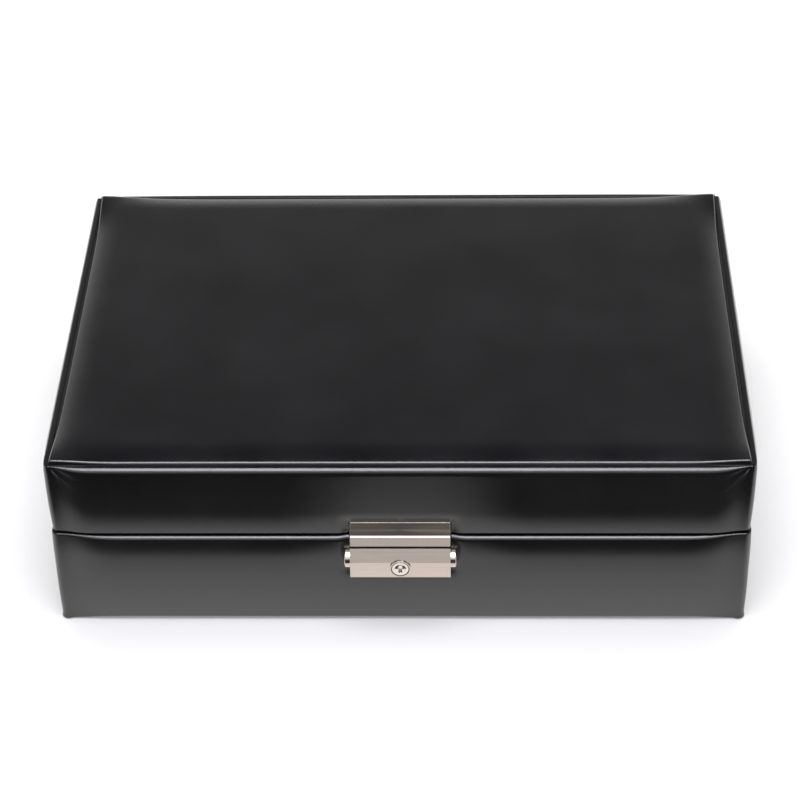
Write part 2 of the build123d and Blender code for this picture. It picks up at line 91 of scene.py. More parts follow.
class Signal:
    """A shader socket that takes part in Python expressions."""

    def __init__(self, shader: "Shader", socket: bpy.types.NodeSocket) -> None:
        """Hold an output socket and the shader that is being built with it."""
        self.shader = shader
        self.socket = socket

    def math(self, operation: str, *values: Any) -> "Signal":
        """One Math node on numbers and signals of this shader."""
        return self.shader.node("ShaderNodeMath", {"operation": operation}, dict(enumerate(values)))

    __add__ = __radd__ = operator("ADD")
    __mul__ = __rmul__ = operator("MULTIPLY")
    __sub__ = operator("SUBTRACT")
    __rsub__ = operator("SUBTRACT", turned=True)
    __truediv__ = operator("DIVIDE")
    __pow__ = operator("POWER")

    def clipped(self) -> "Signal":
        """This value kept between 0 and 1."""
        return self.shader.node(
            "ShaderNodeMath", {"operation": "ADD", "use_clamp": True}, {0: self, 1: 0.0}
        )


class Shader:
    """Builds one node tree: a material's or the world's."""

    def __init__(self, owner: bpy.types.ID) -> None:
        """Empty the node tree of the owner, a material or world."""
        self.owner = owner
        owner.use_nodes = True
        self.tree = owner.node_tree
        self.tree.nodes.clear()

    @classmethod
    def material(cls, name: str) -> "Shader":
        """Start an empty material of that name."""
        return cls(bpy.data.materials.new(name))

    def node(
        self, kind: str, settings: dict[str, Any], inputs: dict[Any, Any], out: Any = 0
    ) -> Signal:
        """Add any node.

        Args:
            kind: Blender's type name of the node.
            settings: Properties that are set before the sockets.
            inputs: Values or signals by input name or number.
            out: Name or number of the output that is returned.

        Returns:
            The chosen output.
        """
        made = self.tree.nodes.new(kind)
        for key, value in settings.items():
            if key == "stops":
                self._set_stops(made, value)
            else:
                setattr(made, key, value)
        for key, value in inputs.items():
            if isinstance(value, Signal):
                self.tree.links.new(value.socket, made.inputs[key])
            else:
                made.inputs[key].default_value = value
        return Signal(self, made.outputs[out])

    @staticmethod
    def _set_stops(ramp: bpy.types.Node, stops: Sequence[tuple[float, Any]]) -> None:
        """Place a ramp's stops as (position, colour) pairs."""
        elements = ramp.color_ramp.elements
        while len(elements) < len(stops):
            elements.new(1.0)
        for element, (position, colour) in zip(elements, stops):
            element.position = position
            element.color = colour

    def place(self, scale: tuple[float, float, float] = (1, 1, 1)) -> Signal:
        """Object coordinates, scaled along each axis."""
        coordinates = self.node("ShaderNodeTexCoord", {}, {}, "Object")
        return self.node("ShaderNodeMapping", {}, {"Vector": coordinates, "Scale": scale})

    def axes(self, kind: str) -> list[Signal]:
        """X, Y and Z of one kind of coordinates, such as Object."""
        place = self.node("ShaderNodeTexCoord", {}, {}, kind)
        split = self.node("ShaderNodeSeparateXYZ", {}, {0: place})
        return [Signal(self, socket) for socket in split.socket.node.outputs]

    def noise(
        self, vector: Signal, scale: float, detail: float = 3.0, rough: float = 0.5
    ) -> Signal:
        """Value noise at a number of cells per metre."""
        inputs = {"Vector": vector, "Scale": scale, "Detail": detail, "Roughness": rough}
        return self.node("ShaderNodeTexNoise", {}, inputs, "Fac")

    def remap(
        self, value: Signal, low: float, high: float, to_low: float, to_high: float
    ) -> Signal:
        """Value carried linearly from one range to another and kept inside it."""
        inputs = {"Value": value, 1: low, 2: high, 3: to_low, 4: to_high}
        return self.node("ShaderNodeMapRange", {"clamp": True}, inputs)

    def blend(self, factor: Signal, first: Any, second: Any) -> Signal:
        """Mix of two colours."""
        inputs = {0: factor, 6: first, 7: second}
        return self.node("ShaderNodeMix", {"data_type": "RGBA"}, inputs, 2)

    def bump(self, height: Signal, strength: float, distance: float) -> Signal:
        """Normal tilted by a height field."""
        inputs = {"Strength": strength, "Distance": distance, "Height": height}
        return self.node("ShaderNodeBump", {}, inputs)

    def light_path(self, ray: str) -> Signal:
        """1 for one kind of ray, such as Is Camera Ray."""
        return self.node("ShaderNodeLightPath", {}, {}, ray)

    def mix(self, factor: Signal, first: Signal, second: Signal) -> Signal:
        """Mix of two surfaces."""
        return self.node("ShaderNodeMixShader", {}, {0: factor, 1: first, 2: second})

    def finish(self, surface: Signal, kind: str = "ShaderNodeOutputMaterial") -> bpy.types.ID:
        """Join the surface to an output node of that kind and return the material or world."""
        output = self.tree.nodes.new(kind)
        self.tree.links.new(surface.socket, output.inputs["Surface"])
        return self.owner

    def surface(self, colour: Any, rough: Any, normal: Signal, more: dict) -> bpy.types.Material:
        """Finish the material with a Principled surface and more values by socket name."""
        inputs = {"Base Color": colour, "Roughness": rough, "Normal": normal} | more
        return self.finish(self.node("ShaderNodeBsdfPrincipled", {}, inputs))


def rgba(red: float, green: float, blue: float) -> tuple[float, float, float, float]:
    """A linear colour with full alpha."""
    return (red, green, blue, 1.0)


# Finishes
@dataclass(frozen=True)
class Leather:
    """Smooth black leather with a very fine grain and a soft sheen."""

    name: str = "black_leather"
    dark: tuple = rgba(0.0026, 0.0025, 0.0030)
    light: tuple = rgba(0.0040, 0.0039, 0.0045)
    pore_scale: float = 1500.0
    fold_scale: float = 240.0
    cloud_scale: float = 28.0
    roughness: float = 0.2
    relief: float = 0.35
    relief_depth: float = 0.12 * MM

    def build(self) -> bpy.types.Material:
        """Pores from cell edges, soft folds from slow noise, both as bump."""
        shader = Shader.material(self.name)
        place = shader.place()
        wobble = shader.noise(place, self.pore_scale * 0.5, 2.0)
        cells = {"Vector": place, "Scale": self.pore_scale, "Randomness": 1.0}
        edges = {"feature": "DISTANCE_TO_EDGE"}
        pores = shader.node("ShaderNodeTexVoronoi", edges, cells, "Distance")
        grain = shader.remap(pores, 0.0, 0.35, 0.0, 1.0) * 0.7 + wobble * 0.3
        folds = shader.noise(place, self.fold_scale, 3.0, 0.55)
        cloud = shader.noise(place, self.cloud_scale, 3.0)
        colour = shader.blend(shader.remap(cloud, 0.3, 0.7, 0.0, 1.0), self.dark, self.light)
        rough = shader.remap(cloud, 0.25, 0.75, self.roughness - 0.03, self.roughness + 0.04)
        rough = rough + (wobble - 0.5) * 0.10
        normal = shader.bump(grain * 0.6 + folds * 0.4, self.relief, self.relief_depth)
        return shader.surface(colour, rough, normal, {"Specular IOR Level": 0.7})


@dataclass(frozen=True)
class SatinMetal:
    """Brushed metal: fine scratches along the box's width."""

    name: str
    colour: tuple
    roughness: float = 0.30
    scratch: float = 0.25
    fine: tuple = (30.0, 4200.0, 4200.0)
    broad: tuple = (14.0, 900.0, 900.0)

    def build(self) -> bpy.types.Material:
        """Scratches from noise drawn out along X."""
        shader = Shader.material(self.name)
        fine = shader.noise(shader.place(self.fine), 1.0, 3.0, 0.7)
        broad = shader.noise(shader.place(self.broad), 1.0, 2.0)
        tone = shader.remap(fine, 0.25, 0.75, 0.0, 1.0)
        darker = tuple(c * 0.86 for c in self.colour[:3]) + (1.0,)
        rough = shader.remap(broad, 0.3, 0.7, self.roughness - 0.05, self.roughness + 0.07)
        colour = shader.blend(tone, darker, self.colour)
        normal = shader.bump(fine, self.scratch, 0.02 * MM)
        return shader.surface(colour, rough, normal, {"Metallic": 1.0, "Anisotropic": 0.45})


@dataclass(frozen=True)
class Nap:
    """Short-napped cloth such as microsuede or felt."""

    name: str
    dark: tuple
    light: tuple
    sheen: float = 0.25
    nap_scale: float = 2600.0
    brush_scale: float = 22.0

    def build(self) -> bpy.types.Material:
        """Brushed patches over a fine fibre noise."""
        shader = Shader.material(self.name)
        place = shader.place()
        fibre = shader.noise(place, self.nap_scale, 4.0, 0.7)
        brushed = shader.noise(place, self.brush_scale, 4.0, 0.6)
        tone = (shader.remap(brushed, 0.3, 0.7, 0.0, 1.0) * 0.65 + fibre * 0.35).clipped()
        colour = shader.blend(tone, self.dark, self.light)
        rough = shader.remap(fibre, 0.2, 0.8, 0.82, 0.98)
        sheen = {"Sheen Weight": self.sheen, "Sheen Roughness": 0.4}
        return shader.surface(colour, rough, shader.bump(fibre, 0.5, 0.25 * MM), sheen)


@dataclass(frozen=True)
class WrapPaper:
    """Matt black leatherette paper over fibreboard."""

    name: str = "black_board"
    colour: tuple = rgba(0.011, 0.011, 0.012)
    grain_scale: float = 1500.0

    def build(self) -> bpy.types.Material:
        """A shallow pressed grain over near black."""
        shader = Shader.material(self.name)
        place = shader.place()
        grain = shader.noise(place, self.grain_scale, 3.0, 0.6)
        tone = shader.remap(grain, 0.3, 0.7, 0.0, 1.0)
        lighter = tuple(c * 1.7 for c in self.colour[:3]) + (1.0,)
        colour = shader.blend(tone, self.colour, lighter)
        rough = shader.remap(grain, 0.2, 0.8, 0.5, 0.66)
        normal = shader.bump(grain, 0.3, 0.1 * MM)
        return shader.surface(colour, rough, normal, {"Specular IOR Level": 0.25})


class Finish(Enum):
    """The finishes, by the record's material slot. The plug is a brighter cut of the nickel."""

    LEATHER = Leather()
    BOARD = WrapPaper()
    SUEDE = Nap("suede", rgba(0.035, 0.034, 0.034), rgba(0.06, 0.058, 0.057))
    CUSHION = Nap("cushion_suede", rgba(0.05, 0.049, 0.048), rgba(0.085, 0.082, 0.08))
    NICKEL = SatinMetal("satin_nickel", rgba(0.62, 0.545, 0.49), 0.17)
    PLUG = SatinMetal("satin_nickel", rgba(0.8, 0.76, 0.72), 0.12, 0.08)
    STEEL = SatinMetal("steel", rgba(0.58, 0.58, 0.6), 0.26, 0.15)
    FELT = Nap("felt", rgba(0.008, 0.008, 0.009), rgba(0.016, 0.016, 0.017), 0.1, 1800.0)


class Wardrobe:
    """Makes each finish once and dresses pieces in it."""

    def __init__(self) -> None:
        """Start with nothing made."""
        self.made: dict[Finish, bpy.types.Material] = {}

    def material(self, finish: Finish) -> bpy.types.Material:
        """The material of a finish."""
        if finish not in self.made:
            self.made[finish] = finish.value.build()
        return self.made[finish]

    def dress_nodes(self) -> None:
        """Give every carried-over piece the finish of its slot."""
        by_slot = {finish.value.name: finish for finish in reversed(Finish)}
        for entry in frame["record"]["subparts"]:
            piece = frame["nodes"][entry["node"]]
            material = self.material(by_slot[entry["material_slot"]])
            if not piece.material_slots:
                piece.data.materials.append(material)
            for held in piece.material_slots:
                held.material = material

    def dress(self, piece: bpy.types.Object, finish: Finish) -> None:
        """Dress a new piece."""
        piece.data.materials.clear()
        piece.data.materials.append(self.material(finish))


# Mesh helpers
def bell(distance: np.ndarray, reach: float) -> np.ndarray:
    """1 at no distance, falling off as exp(-(distance / reach)^2)."""
    return np.exp(-((distance / reach) ** 2))


def eased(count: int) -> np.ndarray:
    """Shares from 0 to 1 that lie close together at both ends."""
    return 0.5 - 0.5 * np.cos(np.linspace(0.0, math.pi, count))


def grid_faces(rows: int, columns: int, wrap_rows: bool, wrap_columns: bool) -> np.ndarray:
    """Quads of a grid, as four point numbers each, with the points numbered row by row.

    Args:
        rows: Number of rows of points.
        columns: Number of points in a row.
        wrap_rows: Join the last row to the first.
        wrap_columns: Join the last column to the first.
    """
    row = np.arange(rows if wrap_rows else rows - 1)
    column = np.arange(columns if wrap_columns else columns - 1)
    i, j = np.meshgrid(row, column, indexing="ij")
    right = (j + 1) % columns
    below = (i + 1) % rows
    corners = [i * columns + j, i * columns + right, below * columns + right, below * columns + j]
    return np.stack([c.ravel() for c in corners], axis=1)


def place_object(name: str, data: bpy.types.ID) -> bpy.types.Object:
    """A new object in the scene."""
    made = bpy.data.objects.new(name, data)
    bpy.context.scene.collection.objects.link(made)
    return made


def make_piece(
    name: str, points: np.ndarray, faces: list[Any], smooth_angle: float = 40.0
) -> bpy.types.Object:
    """Put points and faces into a new object, with its faces turned outwards.

    Args:
        name: Name of the piece.
        points: One point in metres for each row.
        faces: Point numbers of each face.
        smooth_angle: Edges sharper than this many degrees stay sharp.
    """
    mesh = bpy.data.meshes.new(name)
    mesh.from_pydata(points.reshape(-1, 3).tolist(), [], faces)
    work = bmesh.new()
    work.from_mesh(mesh)
    bmesh.ops.remove_doubles(work, verts=work.verts, dist=2e-6)
    bmesh.ops.dissolve_degenerate(work, edges=work.edges, dist=1e-7)
    bmesh.ops.recalc_face_normals(work, faces=work.faces)
    work.to_mesh(mesh)
    work.free()
    mesh.shade_smooth()
    mesh.set_sharp_from_angle(angle=math.radians(smooth_angle))
    return place_object(name, mesh)


def read_points(mesh: bpy.types.Mesh) -> np.ndarray:
    """The mesh's points, one in each row."""
    points = np.empty(len(mesh.vertices) * 3)
    mesh.vertices.foreach_get("co", points)
    return points.reshape(-1, 3)


def write_points(mesh: bpy.types.Mesh, points: np.ndarray) -> None:
    """Move the mesh's points to new places."""
    mesh.vertices.foreach_set("co", points.ravel())
    mesh.update()


def loop_piece(name: str, rings: np.ndarray) -> bpy.types.Object:
    """A closed tube from points by ring, then round the ring, with a flat cap at each end."""
    count, around = rings.shape[:2]
    faces = grid_faces(count, around, False, True).tolist()
    faces.append(list(range(around))[::-1])
    faces.append(list(range((count - 1) * around, count * around)))
    return make_piece(name, rings, faces)


def softened(
    node: str, width: float, segments: int = 3, moves: Sequence[tuple] = ()
) -> bpy.types.Object:
    """A copy that stands for a node, with its sharp edges rounded.

    Args:
        node: Name of the node.
        width: Width of the rounding in metres.
        segments: Facets across the rounding.
        moves: Edges along X to move first, each as its Y and Z and its new Y and Z.
    """
    mesh = frame["nodes"][node].data.copy()
    work = bmesh.new()
    work.from_mesh(mesh)
    bmesh.ops.remove_doubles(work, verts=work.verts, dist=1e-6)
    bmesh.ops.dissolve_limit(
        work, angle_limit=math.radians(1.0), verts=work.verts, edges=work.edges
    )
    near = 0.12 * MM
    for y, z, new_y, new_z in moves:
        held = [v for v in work.verts if abs(v.co.y - y) < near and abs(v.co.z - z) < near]
        LOG.info("%s: %d points moved", node, len(held))
        for vertex in held:
            vertex.co.y, vertex.co.z = new_y, new_z
    work.to_mesh(mesh)
    work.free()
    mesh.shade_smooth()
    mesh.set_sharp_from_angle(angle=math.radians(35.0))
    piece = place_object("soft_" + node, mesh)
    bevel = piece.modifiers.new("edges", "BEVEL")
    bevel.width = width
    bevel.segments = segments
    bevel.limit_method = "ANGLE"
    bevel.angle_limit = math.radians(22.0)
    weighted = piece.modifiers.new("flat faces", "WEIGHTED_NORMAL")
    weighted.keep_sharp = True
    weighted.weight = 80
    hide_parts(node)
    return piece


@dataclass(frozen=True)
class WrapPath:
    """The way that leather takes round the board: side, corner, front, corner, side."""

    half_width: float
    front: float
    end: float
    corner: float
    side_rows: int = 110
    front_rows: int = 220
    corner_rows: int = 15

    @staticmethod
    def _mirrored(side: np.ndarray, turn: np.ndarray, front: np.ndarray) -> np.ndarray:
        """The whole way: left side, corner, front, and both again on the right."""
        flip = (-1, 1)
        return np.concatenate([side, turn, front, turn[::-1] * flip, side[::-1] * flip])

    def lines(self, dense: Sequence[float] = ()) -> tuple[np.ndarray, np.ndarray, np.ndarray]:
        """Sample the path.

        Args:
            dense: Places along X on the front that need close points.

        Returns:
            Points, outward normals, and the distance along the path from the nearer corner.
        """
        run = self.end - self.front - self.corner
        side = run * (1.0 - np.linspace(0.0, 1.0, self.side_rows) ** 0.5)
        arc = np.linspace(0.0, math.pi / 2, self.corner_rows + 2)[1:-1]
        flat = self.half_width - self.corner
        spread = flat * np.sin(np.linspace(-math.pi / 2, math.pi / 2, self.front_rows))
        close = [c + s for c in dense for s in np.linspace(-8, 8, 41) * MM]
        close += [c + s for c in dense for s in (-0.02 * MM, 0.02 * MM)]
        across = np.unique(np.round(np.concatenate([spread, close]), 6))
        across = across[np.abs(across) <= flat + 1e-9]
        left = np.stack([np.full(side.size, -self.half_width), self.front + self.corner + side], 1)
        turn_x = -flat - self.corner * np.cos(arc)
        turn = np.stack([turn_x, self.front + self.corner * (1 - np.sin(arc))], 1)
        front = np.stack([across, np.full(across.size, self.front)], 1)
        points = self._mirrored(left, turn, front)
        normals = self._mirrored(
            np.tile((-1.0, 0.0), (side.size, 1)),
            np.stack([-np.cos(arc), -np.sin(arc)], 1),
            np.tile((0.0, -1.0), (across.size, 1)),
        )
        near = np.zeros(arc.size)
        away = np.concatenate([side, near, flat - np.abs(across), near, side[::-1]])
        return points, normals, away


@dataclass(frozen=True)
class Swell:
    """How padded leather swells over its board, in metres."""

    foot_out: float
    rise: float
    full_at: float
    shoulder: float
    shoulder_h: float
    foot_roll: float
    head_roll: float

    def values(self) -> np.ndarray:
        """The sizes in the order of the fields."""
        return np.array([getattr(self, name) for name in self.__dataclass_fields__])


@dataclass(frozen=True)
class PadProfile:
    """Section of padded leather over a board, which changes from front to corners and sides."""

    low: float
    top: float
    turn: float
    front_turn: float
    turn_t: float
    front: Swell
    side: Swell
    corner: Swell
    corner_reach: float
    face_rows: int = 76
    head_rows: int = 8
    head_dome: float = 0.08 * MM

    def turns(self, normals: np.ndarray) -> np.ndarray:
        """How far the leather turns in over the board at each place along the path."""
        return self.turn + (self.front_turn - self.turn) * normals[:, 1:2] ** 2

    def loops(
        self, normals: np.ndarray, away: np.ndarray
    ) -> tuple[np.ndarray, np.ndarray, np.ndarray]:
        """Closed sections along the path.

        Front and side sizes are weighed by the square of the normal, and both give way to the
        corner's sizes near it. The face rises as 1 - (1 - u)^2 up to full_at, sinks by a squared
        shoulder near the head, and each end is rolled in by a quarter circle.

        Args:
            normals: Outward directions along the path.
            away: Distance from the nearer corner along the path.

        Returns:
            Distances outwards and heights by place and point, and which points follow the leather.
        """
        pinch = bell(away, self.corner_reach)[:, None]
        facing = (normals[:, 1:2] ** 2) * (1.0 - pinch)
        beside = (normals[:, 0:1] ** 2) * (1.0 - pinch)
        mixed = facing * self.front.values() + beside * self.side.values()
        mixed = mixed + pinch * self.corner.values()
        foot_out, rise, full_at, shoulder, shoulder_h, foot_roll, head_roll = (
            mixed[:, k : k + 1] for k in range(7)
        )
        share = eased(self.face_rows)
        z = self.low + (self.top - self.low) * share[None, :]
        out = foot_out + rise * (1.0 - (1.0 - np.minimum(share[None, :] / full_at, 1.0)) ** 2)
        sink = np.clip((z - (self.top - shoulder_h)) / shoulder_h, 0.0, 1.0)
        out = out - shoulder * sink**2
        for roll, distance in ((foot_roll, z - self.low), (head_roll, self.top - z)):
            inside = np.clip(roll - distance, 0.0, roll)
            out = out - (roll - np.sqrt(np.maximum(roll**2 - inside**2, 0.0)))
        step = np.linspace(0.0, 1.0, self.head_rows + 1)[None, 1:]
        turn = self.turns(normals)
        head = out[:, -1:] + (-turn - out[:, -1:]) * step
        dome = self.top + self.head_dome * np.sin(step * math.pi) + 0.0 * head
        under = self.top - self.turn_t
        inner_o = np.concatenate([-turn, np.zeros((len(away), 3))], axis=1)
        inner_z = np.tile((under, under, (under + self.low) / 2, self.low), (len(away), 1))
        all_o = np.concatenate([out, head, inner_o], axis=1)
        all_z = np.concatenate([np.repeat(z, len(away), axis=0), dome, inner_z], axis=1)
        free = np.concatenate([np.ones(share.size + self.head_rows), np.zeros(inner_o.shape[1])])
        return all_o, all_z, free


# The object
@dataclass
class Padding:
    """The padded leather outside: lid band, lid panel, drawer front and case sides.

    The dimples beside the lock and the ears at the foot of the corners have a depth and a reach.
    """

    wardrobe: Wardrobe
    corner: float = 1.3 * MM
    cut_gap: float = 0.4 * MM
    near_lock: float = 60 * MM
    hasp_dimple: tuple = (0.9 * MM, 2.8 * MM)
    case_dimple: tuple = (1.1 * MM, 3.4 * MM)
    ear: tuple = (0.6 * MM, 1.6 * MM)
    gather: float = 0.35 * MM
    folds: tuple = ((0.35, 0.7 * MM, 1.0), (0.9, 1.0 * MM, -0.7), (1.7, 1.4 * MM, 0.6))
    puff: float = 0.6 * MM
    sink: float = 1.0 * MM
    lid_front: Swell = Swell(3.1 * MM, 0.9 * MM, 0.35, -0.5 * MM, 25 * MM, 0.8 * MM, 3.5 * MM)
    lid_side: Swell = Swell(1.2 * MM, 2.1 * MM, 0.8, 1.7 * MM, 6 * MM, 1.0 * MM, 0.5 * MM)
    lid_corner: Swell = Swell(1.0 * MM, 0.9 * MM, 0.7, 0.1 * MM, 8 * MM, 0.7 * MM, 0.5 * MM)
    low_front: Swell = Swell(2.2 * MM, 3.1 * MM, 0.7, 1.0 * MM, 12 * MM, 2.2 * MM, 2.2 * MM)
    low_side: Swell = Swell(1.5 * MM, 1.1 * MM, 0.4, 0.9 * MM, 11 * MM, 0.6 * MM, 1.2 * MM)
    low_corner: Swell = Swell(1.6 * MM, 0.5 * MM, 0.4, 0.3 * MM, 12 * MM, 0.2 * MM, 0.5 * MM)

    def build(self) -> None:
        """Make every padded piece."""
        self.lid_band()
        self.drawer_front()
        self.case_sides()
        self.top_panel()
        self.spine_head()

    def _wrap(
        self, name: str, path: WrapPath, profile: PadProfile, shape: Callable, cut_x: float
    ) -> bpy.types.Object:
        """Carry the leather's section along the path and let a function shape it.

        Points inside the board's line are kept within the mitred inner rectangle, so that the
        turned-in leather doesn't cross itself at the corners.

        Args:
            shape: Takes X along the front, distance from the corner, outward distance and
                height, and returns the new outward distance and height.
            cut_x: Half the width of the window that the metal needs.
        """
        points, normals, away = path.lines((-cut_x, cut_x))
        out, z, free = profile.loops(normals, away)
        along = np.repeat(points[:, :1], out.shape[1], axis=1)
        corner = np.repeat(away[:, None], out.shape[1], axis=1)
        square_on = 0.999
        front = np.abs(normals[:, 1:2]) > square_on
        new_o, new_h = shape(along, corner, out, z)
        out = out + (new_o - out) * free[None, :]
        z = np.where(front, new_h, z + (new_h - z) * free[None, :])
        x = points[:, :1] + normals[:, :1] * out
        y = points[:, 1:2] + normals[:, 1:2] * out
        inward = np.clip(-out / profile.turns(normals), 0.0, 1.0)
        reach = path.half_width - profile.turn * inward
        x = np.where(out < 0.0, np.clip(x, -reach, reach), x)
        y = np.where(out < 0.0, np.maximum(y, path.front + profile.front_turn * inward), y)
        return loop_piece(name, np.stack([x, y, z], axis=2))

    def _gathers(self, corner: np.ndarray, h: np.ndarray, top: float) -> np.ndarray:
        """Small folds that fan down from a top corner, as valleys beside low ridges.

        Each of the folds has its lean, its width and its depth as a share of the gather.
        """
        depth = top - h
        fade = np.exp(-depth / (7.0 * MM)) * np.exp(-corner / (10.0 * MM))
        sunk = 0.0
        for lean, width, size in self.folds:
            sunk = sunk + size * bell(corner - lean * depth, width)
        return -self.gather * fade * sunk

    def _dimple(
        self, size: tuple[float, float], along: np.ndarray, past_x: float, beyond: np.ndarray
    ) -> np.ndarray:
        """How far points sink in the dimple round the lock's window.

        Args:
            size: Depth at the window, and reach.
            along: X of each point.
            past_x: Half the width of the window.
            beyond: How far each point lies above or below the window, or less than 0 beside it.
        """
        depth, reach = size
        away = np.hypot(np.maximum(np.abs(along) - past_x, 0.0), np.maximum(beyond, 0.0))
        near = np.abs(along) < self.near_lock
        return np.where(near, depth * bell(away, reach), 0.0)

    def _low_profile(self, node: str) -> PadProfile:
        """Section of the lower tier's leather, which the drawer front and the case sides share."""
        low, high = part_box(node)
        return PadProfile(
            low=low[2],
            top=high[2] - self.sink,
            turn=2.0 * MM,
            front_turn=2.0 * MM,
            turn_t=0.6 * MM,
            front=self.low_front,
            side=self.low_side,
            corner=self.low_corner,
            corner_reach=13.0 * MM,
        )

    def lid_band(self) -> None:
        """Leather round the lid's front and sides, turned in over the top."""
        low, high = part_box("lid_leather_band")
        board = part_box("lid_top_board")
        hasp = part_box("hasp_plate")
        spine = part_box("lid_leather_spine")
        cut_x = hasp[1][0] + self.cut_gap
        cut_z = hasp[1][2] + self.cut_gap
        profile = PadProfile(
            low=low[2] - 0.5 * MM,
            top=high[2] + self.puff,
            turn=0.7 * MM,
            front_turn=0.05 * MM,
            turn_t=1.3 * MM,
            front=self.lid_front,
            side=self.lid_side,
            corner=self.lid_corner,
            corner_reach=9.0 * MM,
        )
        path = WrapPath(board[1][0], board[0][1], spine[1][1] - 1.4 * MM, self.corner)

        def shape(along, corner, o, h):
            """Gather the corners, sink round the hasp and leave its window open."""
            fold = self._gathers(corner, h, profile.top)
            dimple = self._dimple(self.hasp_dimple, along, cut_x, h - cut_z)
            return o + fold - dimple, np.where(np.abs(along) < cut_x, np.maximum(h, cut_z), h)

        piece = self._wrap("lid_band_leather", path, profile, shape, cut_x)
        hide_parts("lid_leather_band")
        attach(piece, "lid")
        self.wardrobe.dress(piece, Finish.LEATHER)

    def drawer_front(self) -> None:
        """Padded leather of the drawer front, rolled at its head and led round both ends."""
        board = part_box("drawer_front_board")
        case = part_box("lock_case")
        cut_x = case[1][0] + self.cut_gap
        cut_z = case[0][2] - self.cut_gap
        profile = self._low_profile("drawer_front_leather")
        path = WrapPath(board[1][0], board[0][1], board[1][1], self.corner)

        def shape(along, corner, o, h):
            """Leave small ears at the foot, sink beside the lock and leave its window open."""
            size, reach = self.ear
            ear = size * bell(corner, reach) * np.exp(-(h - profile.low) / reach)
            dimple = self._dimple(self.case_dimple, along, cut_x, cut_z - h)
            return o + ear - dimple, np.where(np.abs(along) < cut_x, np.minimum(h, cut_z), h)

        piece = self._wrap("drawer_front_pad", path, profile, shape, cut_x)
        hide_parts("drawer_front_leather")
        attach(piece, "drawer")
        self.wardrobe.dress(piece, Finish.LEATHER)

    def case_sides(self) -> None:
        """Padded leather of the case's two sides, with the drawer front's side section."""
        for side, node in ((-1, "left_side_leather"), (1, "right_side_leather")):
            low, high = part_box(node)
            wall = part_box(node.replace("leather", "wall"))
            face = wall[0][0] if side < 0 else wall[1][0]
            profile = self._low_profile(node)
            y = low[1] + (high[1] - low[1]) * eased(60)
            normals = np.tile((float(side), 0.0), (y.size, 1))
            out, z, free = profile.loops(normals, y - low[1] + 10.0 * MM)
            inset = np.minimum(y - low[1], high[1] - y)
            end_roll = 0.5 * MM * bell(inset, 0.8 * MM)
            out = out - end_roll[:, None] * free[None, :] * (out > 0.3 * MM)
            along = np.repeat(y[:, None], out.shape[1], axis=1)
            rings = np.stack([face + side * out, along, z], axis=2)
            piece = loop_piece(node + "_pad", rings)
            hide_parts(node)
            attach(piece, "case")
            self.wardrobe.dress(piece, Finish.LEATHER)

    def top_panel(self) -> None:
        """The lid's padded top panel.

        Each edge has a quarter-circle lip, then a shoulder that sinks with the square of the
        distance. Near the corners the shoulder fades and the outline reaches outwards, so the edges
        bow in between them. A crown falls with the fourth power towards the edges.
        """
        low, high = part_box("top_leather_panel")
        front, back = low[1] - 1.0 * MM, high[1] + 1.3 * MM
        middle_y, half_y = (front + back) / 2, (back - front) / 2
        half_x = high[0] + 2.3 * MM
        crown, wide = 0.4 * MM, 13.0 * MM
        drop_side, drop_front, drop_back = 2.7 * MM, 1.9 * MM, 1.6 * MM
        side_lip, front_lip, back_lip = 0.9 * MM, 1.1 * MM, 3.0 * MM
        shoulder_fade, bow_reach = 17 * MM, 30 * MM
        bow_x, bow_front, bow_back = 0.8 * MM, 0.3 * MM, 1.8 * MM
        crown_z = high[2] + self.puff + 2.1 * MM

        def spaced(half: float, count: int, first: float, last: float) -> np.ndarray:
            """Places from edge to edge, close together in both lips and the shoulders."""
            inner = np.linspace(-1.0, 1.0, count) * (half - wide)
            ends = []
            for lip in (first, last):
                shoulder = np.linspace(half - wide, half - lip, 16)[1:]
                rolled = half - lip * (1.0 - np.sin(np.linspace(0.0, math.pi / 2, 12)))[1:]
                ends.append(np.concatenate([shoulder, rolled]))
            return np.concatenate([-ends[0][::-1], inner, ends[1]])

        def fall(inset: np.ndarray, drop: Any, full: np.ndarray, lip: Any) -> np.ndarray:
            """How far the surface lies under the crown, from the shoulder and the lip."""
            shoulder = np.clip(1.0 - inset / wide, 0.0, 1.0) ** 2 * drop * full
            inside = np.clip(inset / lip, 0.0, 1.0)
            return shoulder + lip * (1.0 - np.sqrt(1.0 - (1.0 - inside) ** 2))

        def away(inset: np.ndarray, reach: float) -> np.ndarray:
            """0 at a corner and 1 away from it."""
            return 1.0 - bell(inset, reach)

